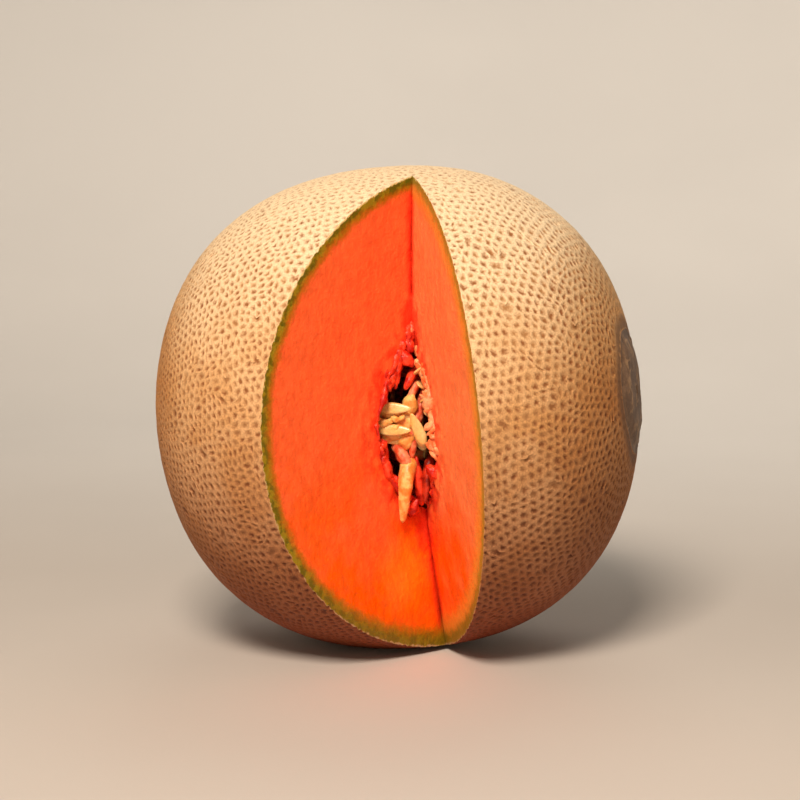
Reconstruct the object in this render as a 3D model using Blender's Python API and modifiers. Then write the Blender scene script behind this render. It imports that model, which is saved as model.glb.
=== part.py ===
"""A netted melon lying on its side, with a wedge cut out of it and its seeds showing.

The melon's length runs along X with the blossom end at +X, the wedge is open towards -Y,
and Z is up. The origin is the middle of the small flat spot that the melon rests on.
"""
import math

import bmesh
import bpy
from mathutils import Matrix
from mathutils import Vector

MM = 0.001

# The whole fruit.
RADIUS = 80 * MM
HALF_LENGTH = 0.984 * RADIUS
SHOULDER_POWER = 2.3
BLOSSOM_END_LIFT = math.radians(5.5)
REST_SPOT_DEPTH = 1.2 * MM
CENTRE_HEIGHT = RADIUS - REST_SPOT_DEPTH
TURN_STEPS = 72

# The smooth button at the blossom end, with a groove round it and a scar in its middle.
BUTTON_RADIUS = 18.5 * MM
BUTTON_RISE = 0.8 * MM
GROOVE_WIDTH = 2.2 * MM
GROOVE_DEPTH = 0.9 * MM
SCAR_RADIUS = 2.2 * MM
SCAR_DEPTH = 1.5 * MM

# The dished scar that the stalk leaves at the other end.
STALK_SCAR_RADIUS = 8 * MM
STALK_SCAR_DEPTH = 1.4 * MM

# The wedge: two knife cuts that meet in a slightly bowed, leaning line.
WEDGE_ANGLE = math.radians(60)
WEDGE_LINE_X = 9.6 * MM
WEDGE_LINE_Y = -16.4 * MM
WEDGE_LEAN_X = -4.5 * MM
WEDGE_LEAN_Y = -6.4 * MM
WEDGE_BOW = 4.4 * MM
WEDGE_REACH = 1.8 * RADIUS
WEDGE_STATIONS = 14

# The seed hollow, measured from the middle of the fruit.
HOLLOW_CENTRE = Vector((3 * MM, 1 * MM, -3.5 * MM))
HOLLOW_RADII = Vector((46 * MM, 34 * MM, 32 * MM))

# One seed: a flat drop, pointed where it hangs on the pulp.
SEED_LENGTH = 11 * MM
SEED_WIDTH = 4.8 * MM
SEED_THICKNESS = 1.8 * MM
SEED_POINTING = 0.45
GAP = 0.4 * MM

# The two pulp cords at the back of the hollow, and the seeds that stand on them.
BACK_CORD_RADIUS = 2.6 * MM
BACK_CORD_HALF_LENGTH = 30 * MM
BACK_CORD_OFFSET = 19 * MM
BACK_CORD_ANGLES = (math.radians(48), math.radians(-48))
BACK_ROW_SEEDS = 8
BACK_ROW_PITCH = 7 * MM
BACK_ROW_SPREAD = math.radians(40)

# The seeds that show in the opening, measured from the middle of the fruit.
STACK_TOP = Vector((4.4 * MM, -27.0 * MM, 2.6 * MM))
STACK_COUNT = 4
STACK_PITCH = 3.5 * MM
STACK_STAGGER = 2.6 * MM
STACK_ROLL = math.radians(14)
FAN_TOP = Vector((9.6 * MM, -26.0 * MM, 1.0 * MM))
FAN_COUNT = 3
FAN_STEP = Vector((-0.5 * MM, 2.4 * MM, -1.2 * MM))
FAN_TILT = math.radians(66)
EDGE_TOP = Vector((11.4 * MM, -16.0 * MM, 14.5 * MM))
EDGE_COUNT = 5
EDGE_STEP = Vector((1.0 * MM, 0.4 * MM, -4.6 * MM))
EDGE_ROLL = math.radians(40)

# Soft strands at the front: name, start, bend, end and greatest radius, in millimetres
# from the middle of the fruit.
SOFT_STRANDS = (
    ("pulp_strand_upper", (8.0, -11.0, 20.0), (3.0, -20.0, 21.5), (2.0, -25.0, 8.5), 3.4),
    ("pulp_strand_hanging", (8.0, -19.0, -14.2), (8.8, -28.0, -14.5), (7.2, -27.5, -34.5), 3.2),
    ("pulp_strand_right", (14.2, -17.0, -14.0), (14.7, -23.0, -16.0), (13.2, -21.0, -29.0), 2.1),
)
STRAND_STEPS = 8

RIND_COLOUR = (0.72, 0.46, 0.22)
PULP_COLOUR = (0.90, 0.20, 0.05)
SEED_COLOUR = (0.92, 0.62, 0.28)


def clear_scene():
    for thing in list(bpy.data.objects):
        bpy.data.objects.remove(thing)


def new_collection(name):
    collection = bpy.data.collections.new(name)
    bpy.context.scene.collection.children.link(collection)
    return collection


def make_material(name, colour, roughness):
    material = bpy.data.materials.new(name)
    material.use_nodes = True
    shader = material.node_tree.nodes["Principled BSDF"]
    shader.inputs["Base Color"].default_value = (*colour, 1.0)
    shader.inputs["Roughness"].default_value = roughness
    shader.inputs["Metallic"].default_value = 0.0
    return material


def object_from_bmesh(name, shape, collection):
    mesh = bpy.data.meshes.new(name)
    shape.to_mesh(mesh)
    shape.free()
    thing = bpy.data.objects.new(name, mesh)
    collection.objects.link(thing)
    return thing


def length_at(distance):
    """How far along the fruit its skin lies at this distance from its long axis."""
    share = 1.0 - (distance / RADIUS) ** SHOULDER_POWER
    return HALF_LENGTH * max(share, 0.0) ** (1.0 / SHOULDER_POWER)


def blossom_end_outline():
    """Scar, button and groove, from the axis outwards."""
    groove_middle = BUTTON_RADIUS + GROOVE_WIDTH / 2
    groove_outside = BUTTON_RADIUS + GROOVE_WIDTH
    rises = (
        (0.0, BUTTON_RISE - SCAR_DEPTH),
        (0.5 * SCAR_RADIUS, BUTTON_RISE - SCAR_DEPTH),
        (SCAR_RADIUS, BUTTON_RISE),
        (0.4 * BUTTON_RADIUS, BUTTON_RISE),
        (0.7 * BUTTON_RADIUS, BUTTON_RISE),
        (0.93 * BUTTON_RADIUS, BUTTON_RISE),
        (BUTTON_RADIUS, 0.0),
        (groove_middle, -GROOVE_DEPTH),
        (groove_outside, 0.0),
    )
    return [(distance, length_at(distance) + rise) for distance, rise in rises]


def side_outline(first_distance, last_distance, count):
    """The long curve over the fruit's girth, by the superellipse's own angle."""
    def angle_of(distance):
        return math.asin((distance / RADIUS) ** (SHOULDER_POWER / 2))

    start = angle_of(first_distance)
    end = math.pi - angle_of(last_distance)
    points = []
    for step in range(1, count):
        angle = start + (end - start) * step / count
        distance = RADIUS * math.sin(angle) ** (2 / SHOULDER_POWER)
        along = HALF_LENGTH * abs(math.cos(angle)) ** (2 / SHOULDER_POWER)
        points.append((distance, math.copysign(along, math.cos(angle))))
    return points


def stalk_end_outline():
    """The rim and the shallow dish of the stalk scar, down to the axis."""
    rim = 1.25 * STALK_SCAR_RADIUS
    return [
        (rim, -length_at(rim)),
        (STALK_SCAR_RADIUS, STALK_SCAR_DEPTH / 2 - length_at(STALK_SCAR_RADIUS)),
        (0.6 * STALK_SCAR_RADIUS, STALK_SCAR_DEPTH - length_at(STALK_SCAR_RADIUS)),
        (0.0, STALK_SCAR_DEPTH - length_at(STALK_SCAR_RADIUS)),
    ]


def fruit_outline():
    blossom = blossom_end_outline()
    stalk = stalk_end_outline()
    return blossom + side_outline(blossom[-1][0], stalk[0][0], 38) + stalk


def turned_fruit(name, collection):
    """The whole fruit, turned about its long axis and laid on its side."""
    shape = bmesh.new()
    corners = [shape.verts.new((distance, 0.0, along)) for distance, along in fruit_outline()]
    for upper, lower in zip(corners, corners[1:]):
        shape.edges.new((upper, lower))
    fruit = object_from_bmesh(name, shape, collection)
    fruit.location = (0.0, 0.0, CENTRE_HEIGHT)
    fruit.rotation_euler = (0.0, math.pi / 2 - BLOSSOM_END_LIFT, 0.0)
    screw = fruit.modifiers.new("turn", "SCREW")
    screw.axis = "Z"
    screw.steps = TURN_STEPS
    screw.render_steps = TURN_STEPS
    screw.use_merge_vertices = True
    screw.merge_threshold = 0.00001
    screw.use_normal_calculate = True
    return fruit


def wedge_line(height):
    """Where the two cuts meet, at this height above the middle of the fruit."""
    share = height / RADIUS
    x = WEDGE_LINE_X + WEDGE_LEAN_X * share + WEDGE_BOW * share ** 2
    y = WEDGE_LINE_Y + WEDGE_LEAN_Y * share
    return Vector((x, y, height))


def wedge_cutter(collection):
    """A three-sided block, pushed up along the bowed line where the cuts meet."""
    shape = bmesh.new()
    lowest = -1.1 * RADIUS
    rise = 2.2 * RADIUS / WEDGE_STATIONS
    start = wedge_line(lowest)
    side = WEDGE_REACH * math.tan(WEDGE_ANGLE / 2)
    left = start + Vector((-side, -WEDGE_REACH, 0.0))
    right = start + Vector((side, -WEDGE_REACH, 0.0))
    corners = [shape.verts.new(corner) for corner in (start, left, right)]
    rim = [shape.edges.new((corners[index - 1], corners[index])) for index in range(3)]
    for station in range(WEDGE_STATIONS):
        height = lowest + rise * station
        pushed = bmesh.ops.extrude_edge_only(shape, edges=rim)["geom"]
        rim = [item for item in pushed if isinstance(item, bmesh.types.BMEdge)]
        corners = [item for item in pushed if isinstance(item, bmesh.types.BMVert)]
        shift = wedge_line(height + rise) - wedge_line(height)
        bmesh.ops.translate(shape, vec=shift, verts=corners)
    bmesh.ops.holes_fill(shape, edges=shape.edges, sides=3)
    bmesh.ops.recalc_face_normals(shape, faces=shape.faces)
    cutter = object_from_bmesh("wedge_cutter", shape, collection)
    cutter.location.z = CENTRE_HEIGHT
    return cutter


def hollow_cutter(collection):
    shape = bmesh.new()
    bmesh.ops.create_uvsphere(shape, u_segments=32, v_segments=20, radius=1.0)
    bmesh.ops.scale(shape, vec=HOLLOW_RADII, verts=shape.verts)
    cutter = object_from_bmesh("hollow_cutter", shape, collection)
    cutter.location = HOLLOW_CENTRE + Vector((0.0, 0.0, CENTRE_HEIGHT))
    return cutter


def rest_cutter(collection):
    shape = bmesh.new()
    bmesh.ops.create_cube(shape, size=RADIUS)
    cutter = object_from_bmesh("rest_cutter", shape, collection)
    cutter.location.z = -RADIUS / 2
    return cutter


def cut_away(body, cutter):
    cutter.hide_render = True
    cutter.display_type = "WIRE"
    boolean = body.modifiers.new(cutter.name, "BOOLEAN")
    boolean.operation = "DIFFERENCE"
    boolean.solver = "EXACT"
    boolean.object = cutter


def make_body(parts, cutters):
    body = turned_fruit("melon_body", parts)
    cut_away(body, rest_cutter(cutters))
    cut_away(body, wedge_cutter(cutters))
    cut_away(body, hollow_cutter(cutters))
    body.data.materials.append(make_material("netted_rind", RIND_COLOUR, 0.75))
    return body


def seed_mesh(material):
    """A flat drop along X with its pointed end at the origin."""
    shape = bmesh.new()
    bmesh.ops.create_uvsphere(shape, u_segments=8, v_segments=6, radius=0.5)
    bmesh.ops.rotate(shape, matrix=Matrix.Rotation(math.pi / 2, 3, "Y"), verts=shape.verts)
    for corner in shape.verts:
        pointing = 1.0 - SEED_POINTING * (0.5 - corner.co.x)
        corner.co.x = (corner.co.x + 0.5) * SEED_LENGTH
        corner.co.y *= SEED_WIDTH * pointing
        corner.co.z *= SEED_THICKNESS * pointing
    mesh = bpy.data.meshes.new("seed")
    shape.to_mesh(mesh)
    shape.free()
    mesh.materials.append(material)
    return mesh


def place_seeds(mesh, places, parts):
    """Seeds in named nodes, one for each place: a point and a rotation."""
    for number, (point, rotation) in enumerate(places, start=1):
        seed = bpy.data.objects.new(f"seed_{number:02d}", mesh)
        seed.matrix_world = (
            Matrix.Translation(point + Vector((0.0, 0.0, CENTRE_HEIGHT))) @ rotation.to_4x4()
        )
        parts.objects.link(seed)


def stacked_places():
    """Seeds lying across the opening, every second one behind its neighbours."""
    upright = Matrix.Rotation(math.pi / 2 + STACK_ROLL, 3, "X")
    about = Matrix.Rotation(math.pi, 3, "Z")
    places = []
    for number in range(STACK_COUNT):
        pointing_left = number % 2 == 0
        tail = STACK_TOP + Vector((0.0, 0.0, -STACK_PITCH * number))
        tail.x += SEED_LENGTH / 2 if pointing_left else -SEED_LENGTH / 2
        tail.y += 0.0 if pointing_left else STACK_STAGGER
        places.append((tail, about @ upright if pointing_left else upright))
    return places


def fanned_places():
    """Seeds that slant down to the right, below and behind each other."""
    tilt = Matrix.Rotation(FAN_TILT, 3, "Y")
    upright = Matrix.Rotation(math.pi / 2, 3, "X")
    return [(FAN_TOP + FAN_STEP * number, tilt @ upright) for number in range(FAN_COUNT)]


def edge_places():
    """Seeds seen end-on in a row down the right edge of the opening."""
    outwards = Matrix.Rotation(-math.pi / 2, 3, "Z")
    places = []
    for number in range(EDGE_COUNT):
        roll = Matrix.Rotation(EDGE_ROLL * (-1) ** number, 3, "X")
        places.append((EDGE_TOP + EDGE_STEP * number, outwards @ roll))
    return places


def back_cord_centre(angle):
    return HOLLOW_CENTRE + BACK_CORD_OFFSET * Vector((0.0, math.cos(angle), math.sin(angle)))


def back_row_places():
    """Two rows of seeds on each back cord, pointing in towards the middle of the hollow."""
    places = []
    for angle in BACK_CORD_ANGLES:
        centre = back_cord_centre(angle)
        for row in (-1, 1):
            heading = angle + math.pi + row * BACK_ROW_SPREAD
            out = Vector((0.0, math.cos(heading), math.sin(heading)))
            flat = out.cross(Vector((1.0, 0.0, 0.0)))
            turn = Matrix((out, flat, out.cross(flat))).transposed()
            for number in range(BACK_ROW_SEEDS):
                along = BACK_ROW_PITCH * (number - (BACK_ROW_SEEDS - 1) / 2 + row / 4)
                point = centre + Vector((along, 0.0, 0.0)) + out * (BACK_CORD_RADIUS + GAP)
                places.append((point, turn))
    return places


def make_cord(name, points, radii, material, parts):
    """A soft cord of pulp through these points, measured from the middle of the fruit."""
    curve = bpy.data.curves.new(name, "CURVE")
    curve.dimensions = "3D"
    curve.bevel_depth = 1.0
    curve.bevel_resolution = 2
    curve.use_fill_caps = True
    spline = curve.splines.new("POLY")
    spline.points.add(len(points) - 1)
    for knot, point, radius in zip(spline.points, points, radii):
        knot.co = (*point, 1.0)
        knot.radius = radius
    cord = bpy.data.objects.new(name, curve)
    cord.location.z = CENTRE_HEIGHT
    parts.objects.link(cord)
    curve.materials.append(material)
    return cord


def back_cord_points(angle):
    centre = back_cord_centre(angle)
    half = BACK_CORD_HALF_LENGTH
    return [centre + Vector((half * step / 4, 0.0, 0.0)) for step in range(-4, 5)]


def swept(start, bend, end, count):
    """Points on a smooth bend from start to end."""
    points = []
    for step in range(count + 1):
        share = step / count
        points.append(start.lerp(bend, share).lerp(bend.lerp(end, share), share))
    return points


def strand_swelling(share):
    """Share of its full thickness that a strand has here: quickly swelling, slowly tapering."""
    return 0.2 + 0.8 * math.sin(math.pi * (0.06 + 0.9 * share) ** 0.7)


def make_cords(material, parts):
    for side, angle in zip(("upper", "lower"), BACK_CORD_ANGLES):
        points = back_cord_points(angle)
        radii = [BACK_CORD_RADIUS * (0.55 if point in (points[0], points[-1]) else 1.0)
                 for point in points]
        make_cord(f"pulp_cord_{side}", points, radii, material, parts)
    for name, start, bend, end, thickest in SOFT_STRANDS:
        points = swept(Vector(start) * MM, Vector(bend) * MM, Vector(end) * MM, STRAND_STEPS)
        radii = [thickest * MM * strand_swelling(step / STRAND_STEPS)
                 for step in range(STRAND_STEPS + 1)]
        make_cord(name, points, radii, material, parts)


def build():
    clear_scene()
    parts = new_collection("netted_melon")
    cutters = new_collection("cutters")
    make_body(parts, cutters)
    seeds = seed_mesh(make_material("seed_coat", SEED_COLOUR, 0.35))
    places = stacked_places() + fanned_places() + edge_places() + back_row_places()
    place_seeds(seeds, places, parts)
    make_cords(make_material("seed_pulp", PULP_COLOUR, 0.3), parts)


if __name__ == "__main__":
    build()
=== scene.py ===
import math
import random

import bmesh
import bpy
from mathutils import Matrix
from mathutils import Vector
from mathutils import noise


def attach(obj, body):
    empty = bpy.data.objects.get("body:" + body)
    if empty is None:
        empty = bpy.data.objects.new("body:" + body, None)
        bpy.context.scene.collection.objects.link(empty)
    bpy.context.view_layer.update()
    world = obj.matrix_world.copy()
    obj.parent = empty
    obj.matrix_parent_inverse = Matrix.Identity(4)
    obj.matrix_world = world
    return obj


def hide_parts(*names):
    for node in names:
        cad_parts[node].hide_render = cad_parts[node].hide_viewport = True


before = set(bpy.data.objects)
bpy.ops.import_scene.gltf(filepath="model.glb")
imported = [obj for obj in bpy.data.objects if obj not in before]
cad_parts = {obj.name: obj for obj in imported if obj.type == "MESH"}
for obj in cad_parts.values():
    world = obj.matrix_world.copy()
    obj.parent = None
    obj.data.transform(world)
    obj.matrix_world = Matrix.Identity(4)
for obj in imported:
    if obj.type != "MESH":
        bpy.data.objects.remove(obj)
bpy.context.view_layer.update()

# The looks of a netted melon with a wedge cut out: rind, flesh, seeds, pulp and a plain set.

bl_info = {
    "name": "Netted melon",
    "version": (1, 0, 0),
    "blender": (4, 5, 0),
    "location": "3D View > Sidebar > Melon",
    "description": "Builds a cut netted melon on its packed frame",
    "category": "Add Mesh",
}

MM = 0.001
BODY = "root"

# The fruit as its frame has it. The frame gives boxes but no curves, so these are repeated.
RADIUS = 80 * MM
HALF_LENGTH = 0.984 * RADIUS
SHOULDER_POWER = 2.3
BLOSSOM_END_LIFT = math.radians(5.5)
MIDDLE = Vector((0.0, 0.0, RADIUS - 1.2 * MM))
LAID_DOWN = Matrix.Rotation(-BLOSSOM_END_LIFT, 3, "Y")
BUTTON_RADIUS = 18.5 * MM
BUTTON_RISE = 0.8 * MM
GROOVE_WIDTH = 2.2 * MM
SCAR_RADIUS = 2.2 * MM
SCAR_DEPTH = 1.5 * MM
STALK_SCAR_RADIUS = 8 * MM
STALK_SCAR_DEPTH = 1.4 * MM
WEDGE_ANGLE = math.radians(60)
WEDGE_LINE_X = 9.6 * MM
WEDGE_LINE_Y = -16.4 * MM
WEDGE_LEAN_X = -4.5 * MM
WEDGE_LEAN_Y = -6.4 * MM
WEDGE_BOW = 4.4 * MM
WEDGE_REACH = 1.8 * RADIUS
HOLLOW_CENTRE = MIDDLE + Vector((3 * MM, 1 * MM, -3.5 * MM))
HOLLOW_RADII = Vector((46 * MM, 34 * MM, 32 * MM))
PULP_CORD_RADIUS = 2.6 * MM
PULP_CORD_HALF_LENGTH = 30 * MM
PULP_CORD_OFFSET = 19 * MM
PULP_CORD_ANGLE = math.radians(48)
SEED_LENGTH = 11 * MM
SEED_WIDTH = 4.8 * MM
SEED_THICKNESS = 1.8 * MM
SEED_POINTING = 0.45
ALL_SEEDS = range(1, 45)

# Soft strands at the front: name, finish, start, bend and end in millimetres from the middle
# of the fruit, and greatest radius in millimetres.
SOFT_STRANDS = (
    ("pulp_strand_upper", "red_pulp",
     (8.0, -11.0, 20.0), (3.0, -20.0, 21.5), (2.0, -25.0, 8.5), 3.4),
    ("pulp_strand_hanging", "cream_pulp",
     (8.0, -19.0, -14.2), (8.8, -28.0, -14.5), (7.2, -27.5, -34.5), 3.2),
    ("pulp_strand_right", "dark_pulp",
     (14.2, -17.0, -14.0), (14.7, -23.0, -16.0), (13.2, -21.0, -29.0), 2.1),
)

# Torn red pulp over the top of the opening and down both its edges: start, bend, end and
# greatest radius, as above.
RED_STRANDS = (
    ((5.6, -20.5, 24.0), (3.6, -25.0, 19.0), (3.0, -26.5, 9.5), 1.9),
    ((4.0, -22.0, 22.5), (1.2, -28.0, 16.0), (0.4, -29.5, 7.5), 1.9),
    ((5.4, -20.0, 23.0), (3.8, -24.5, 18.0), (4.4, -25.5, 8.4), 1.6),
    ((6.0, -22.0, 16.0), (1.6, -28.6, 11.0), (0.6, -30.2, 5.6), 1.5),
    ((6.0, -20.5, 25.0), (4.6, -24.5, 18.5), (5.0, -25.0, 10.0), 1.5),
    ((10.5, -16.0, 15.0), (8.8, -21.5, 13.5), (7.0, -23.5, 8.2), 1.6),
    ((-1.0, -23.0, -8.0), (0.6, -28.0, -11.0), (2.4, -27.0, -17.0), 1.7),
    ((9.4, -19.5, -28.0), (6.5, -25.5, -26.0), (3.2, -29.0, -19.0), 1.6),
    ((11.5, -18.0, -30.0), (11.8, -22.0, -24.0), (10.6, -23.0, -13.0), 1.6),
    ((8.0, -19.0, -33.0), (9.6, -24.0, -31.0), (11.2, -23.0, -27.0), 1.8),
)

# Salmon pulp between and behind the seeds at the front, given in the same way.
SALMON_STRANDS = (
    ((11.5, -15.0, 12.0), (9.8, -21.0, 10.0), (8.2, -23.0, 4.5), 1.5),
    ((10.5, -18.0, 3.0), (9.8, -23.0, -3.0), (9.4, -23.5, -14.0), 2.0),
    ((3.0, -20.0, -9.0), (6.0, -25.0, -12.0), (9.0, -25.5, -16.0), 2.2),
    ((12.0, -16.0, 9.0), (11.4, -20.0, 4.0), (11.0, -21.5, -4.0), 1.3),
)

# The cream pulp that the stacked seeds are bedded in: middles and radii in millimetres.
SEED_BED = (
    ((2.6, -24.4, 1.2), (4.6, 1.9, 2.6)),
    ((6.6, -23.6, -2.2), (4.2, 2.0, 3.2)),
    ((2.4, -24.2, -5.8), (4.4, 1.9, 2.7)),
    ((7.4, -24.0, -8.2), (3.0, 1.9, 2.6)),
    ((8.6, -22.6, 3.6), (2.4, 1.7, 3.2)),
)

# The net: how unevenly its pits are spread, and shares of a pit's spacing, size and depth.
NET_CROWDING = 0.09
CELL_SCATTER = 0.13
CORNER_SCATTER = 0.042
CELL_RADIUS = 0.525
PIT_ROUNDING = 0.6
LEAST_PIT = 0.3
GREATEST_PIT = 0.85
HALF_DOWN = 0.5
PIT_WALL_DEPTH = 0.32
SHALLOWER_ON_TOP = 0.45
SHALLOWER_BELOW = 0.35
SCAR_FADE = 8 * MM
RIDGE_UNEVENNESS = 0.18 * MM
RIND_SWELLING = 0.35 * MM

# The two scars, set into the rind.
BLOSSOM_SIDE = 1
STALK_SIDE = -1
SCAR_WOBBLE = 0.16
SCAR_SEAT_DEPTH = 2.2 * MM
SCAR_PIECE_DEPTH = 2.6 * MM
FITTING_GAP = 0.05 * MM
BUTTON_SEAT_RADIUS = BUTTON_RADIUS + 0.8 * GROOVE_WIDTH
BUTTON_SINK = 0.15 * MM
GROOVE_DEPTH = 0.4 * MM
STALK_SEAT_RADIUS = 1.2 * STALK_SCAR_RADIUS
STALK_SINK = 0.35 * MM
STALK_RIM = 0.3 * MM

# The cuts and the pulp. The half height of the cut faces is a share of the radius.
RIGHT = 1
LEFT = -1
RIND_THICKNESS = 4 * MM
SLICE_STEP = 1.15 * MM
CUT_FACE_REACH = 0.62 * WEDGE_REACH
CUT_HALF_HEIGHT = 1.1
OVERCUT_WIDTH = 0.25 * MM
OVERCUT_DEPTH = 0.3 * MM
SHARP_ANGLE = math.radians(55)
VISUAL_STRAND_SHARE = 0.84
SEED_BED_BITS = 9
YELLOW_SPOT = MIDDLE + Vector((7, -24, -51)) * MM

# The stage: lengths in metres, the lens in millimetres.
FLOOR_FLAT = 0.6
FLOOR_REACH = 2.2
FLOOR_RISE = 2.4
FLOOR_CURVE = 2.2
FLOOR_GAP = 0.2 * MM
KEY_AZIMUTH = math.radians(1)
KEY_ELEVATION = math.radians(43)
CAMERA_AZIMUTH = math.radians(13)
CAMERA_ELEVATION = math.radians(6)
CAMERA_DISTANCE = 0.72
CAMERA_LENS = 97.4
CAMERA_RAISE = 2.4 * MM

# What the colours of the cut faces follow, kept on their meshes.
CUT_MEASURES = ("skin_depth", "hollow_share", "line_distance", "right_side", "torn")

# Settings that many nodes share: a smooth ramp, a mix of two colours and one times the other.
EASED = {"interpolation_type": "SMOOTHSTEP"}
MIXED = {"output": 2, "data_type": "RGBA"}
MULTIPLIED = {**MIXED, "blend_type": "MULTIPLY"}

# The two colours of each pulp and scar: the fresh or pale one, then the dark one.
TWO_COLOURS = {
    # The lining of the seed hollow: deep red, darkened further by painted shade.
    "wet_hollow_lining_and_shade": ("D8380F", "7E0D04"),
    "orange_pulp": ("FF8A40", "E8501C"),
    "red_pulp": ("F0401C", "B01408"),
    "cream_pulp": ("FFC070", "F58B3A"),
    "dark_pulp": ("D03A1E", "7C1408"),
    "pale_pulp": ("FFB27C", "F0763E"),
    "torn_red_pulp": ("FF4A26", "B8160A"),
    "salmon_pulp": ("FF9468", "E2502C"),
    "seed_bed": ("FFC673", "F29A48"),
    # The blossom button's two colours are darkened by painted shade.
    "blossom_skin_and_shade": ("7C6048", "664C38"),
    "dry_stalk_scar": ("A98A5E", "6E5434"),
}


def linear(hex_colour):
    """Linear RGBA from an sRGB hex colour."""
    channels = [int(hex_colour[place:place + 2], 16) / 255 for place in (0, 2, 4)]
    straight = [c / 12.92 if c <= 0.04045 else ((c + 0.055) / 1.055) ** 2.4 for c in channels]
    return (*straight, 1.0)


# Colours inside a material that have no setting of their own.
PALER_PIT = linear("B0804E")
# Smooth bare skin round the scars, darkened by painted shade.
BARE_SKIN_AND_SHADE = linear("7C6048")
END_SHADE = linear("DCC8AC")
SCAR_CORK = linear("B8946C")
SEAM_RED = linear("F2381C")
SEAM_DARK_RED = linear("DC3016")
# Painted shadow low in the crease where the two cuts meet.
LOW_CREASE_SHADOW_BROWN = linear("B4320C")
PALER_GREEN = linear("96841A")
RIGHT_GREEN = linear("A88A30")
# The green and the inner rind turn darker towards the bottom: painted shade.
LOW_SHADED_GREEN = linear("5E5610")
LOW_SHADED_RIND_BROWN = linear("A0640E")
RIGHT_INNER_RIND = linear("F29A3C")
LOW_SKIN = linear("AE8C62")
SEED_HONEY = linear("F2B765")
PALE_PAINT = linear("C8C4BE")


def colour_property(name, description, hex_colour):
    return bpy.props.FloatVectorProperty(
        name=name, description=description, default=linear(hex_colour), size=4,
        min=0.0, max=1.0, subtype="COLOR")


def length_property(name, description, usual, least, greatest):
    """A length that the user can change, given in millimetres."""
    return bpy.props.FloatProperty(
        name=name, description=description, default=usual * MM, min=least * MM,
        max=greatest * MM, unit="LENGTH")


class MelonSizes(bpy.types.PropertyGroup):
    net_pitch: length_property(
        "Net pitch", "Distance from one pit of the net to the next", 2.85, 2.0, 6.0)
    ridge_width: length_property(
        "Ridge width", "Usual width of a corky ridge between two pits", 1.58, 0.4, 2.0)
    pit_depth: length_property(
        "Pit depth", "Depth of the pits below the top of the ridges", 0.70, 0.1, 1.2)
    merged_share: bpy.props.FloatProperty(
        name="Merged pits", description="Share of the pits that have grown into a neighbour",
        default=0.08, min=0.0, max=0.6, subtype="FACTOR")
    slice_grain: length_property(
        "Flesh grain", "Depth of the small hollows on the cut faces", 0.22, 0.0, 1.0)
    pulp_lumps: length_property(
        "Pulp lumps", "Height of the soft lumps that line the seed hollow", 1.3, 0.0, 3.0)


class MelonColours(bpy.types.PropertyGroup):
    ridge: colour_property("Ridge", "Dry corky net", "E8B982")
    # Paler cork towards the top: partly bleached cork, partly painted light from above.
    ridge_top_bleach_and_light: colour_property("Ridge, top", "Bleached cork on the upper side", "F5E3BE")
    ridge_warm: colour_property("Ridge, warm", "Sun-warmed patches of the net", "D9A05E")
    # Laid over the lower part of the fruit: the soil tint there, and painted shade from above.
    soil_tint_and_shade: colour_property("Ground tan", "Tint of the side that lay on the soil", "96501E")
    pit: colour_property("Pit", "Skin at the bottom of a pit", "925A2C")
    skin_line: colour_property("Skin line", "Thin dry skin, seen on edge", "EAD794")
    green: colour_property("Green rind", "Dense green layer under the skin", "68620E")
    rind_inner: colour_property("Inner rind", "Where the green turns to orange", "BE6C12")
    flesh_upper: colour_property("Upper flesh", "Flesh in the upper part", "FD6B36")
    flesh_right: colour_property("Right flesh", "Flesh of the right cut face", "FF985C")
    flesh_lower: colour_property("Lower flesh", "Flesh in the lower part", "FC6000")
    flesh_yellow: colour_property("Yellow flesh", "Paler, less ripe patch", "FF9A20")
    flesh_red: colour_property("Red pulp", "Flesh next to the seed hollow", "EA3418")
    seed: colour_property("Seed", "Seed coat", "F6CE86")


def add_node(tree, kind, inputs=None, output=0, **settings):
    """Adds a node with its settings and links, and returns one of its outputs."""
    node = tree.nodes.new("ShaderNode" + kind)
    for name, value in settings.items():
        setattr(node, name, value)
    for socket, value in (inputs or {}).items():
        if isinstance(value, bpy.types.NodeSocket):
            tree.links.new(value, node.inputs[socket])
        else:
            node.inputs[socket].default_value = value
    return node.outputs[output]


def new_material(name, **constants):
    """A material with constants on its shader, then its tree and its Object coordinates."""
    material = bpy.data.materials.new(name)
    material.use_nodes = True
    tree = material.node_tree
    for socket, value in constants.items():
        tree.nodes["Principled BSDF"].inputs[socket.replace("_", " ")].default_value = value
    return material, tree, add_node(tree, "TexCoord", output="Object")


def patches(place, size, low=0.0, high=1.0, detail=3.0):
    """Soft irregular patches about size millimetres across, as values from low to high."""
    tree = place.id_data
    grain = add_node(
        tree, "TexNoise",
        {"Vector": place, "Scale": 1 / (size * MM), "Detail": detail, "Roughness": 0.58})
    return add_node(tree, "MapRange", {0: grain, 1: 0.34, 2: 0.66, 3: low, 4: high}, **EASED)


def coated(tree, colour, *coats):
    """The colour with others laid over it, each by a measure between two of its values."""
    for coat, measure, (start, end), (first_share, last_share) in coats:
        share = add_node(
            tree, "MapRange", {0: measure, 1: start, 2: end, 3: first_share, 4: last_share}, **EASED)
        colour = add_node(tree, "Mix", {0: share, 6: colour, 7: coat}, **MIXED)
    return colour


def dress(material, colour, height, relief, roughness=None):
    """The material with its colour, its fine relief and any uneven roughness on its shader."""
    tree = material.node_tree
    shader = tree.nodes["Principled BSDF"]
    tree.links.new(colour, shader.inputs["Base Color"])
    normal = add_node(tree, "Bump", {"Height": height, "Distance": relief, "Strength": 0.7})
    tree.links.new(normal, shader.inputs["Normal"])
    if roughness:
        tree.links.new(roughness, shader.inputs["Roughness"])
    return material


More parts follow.
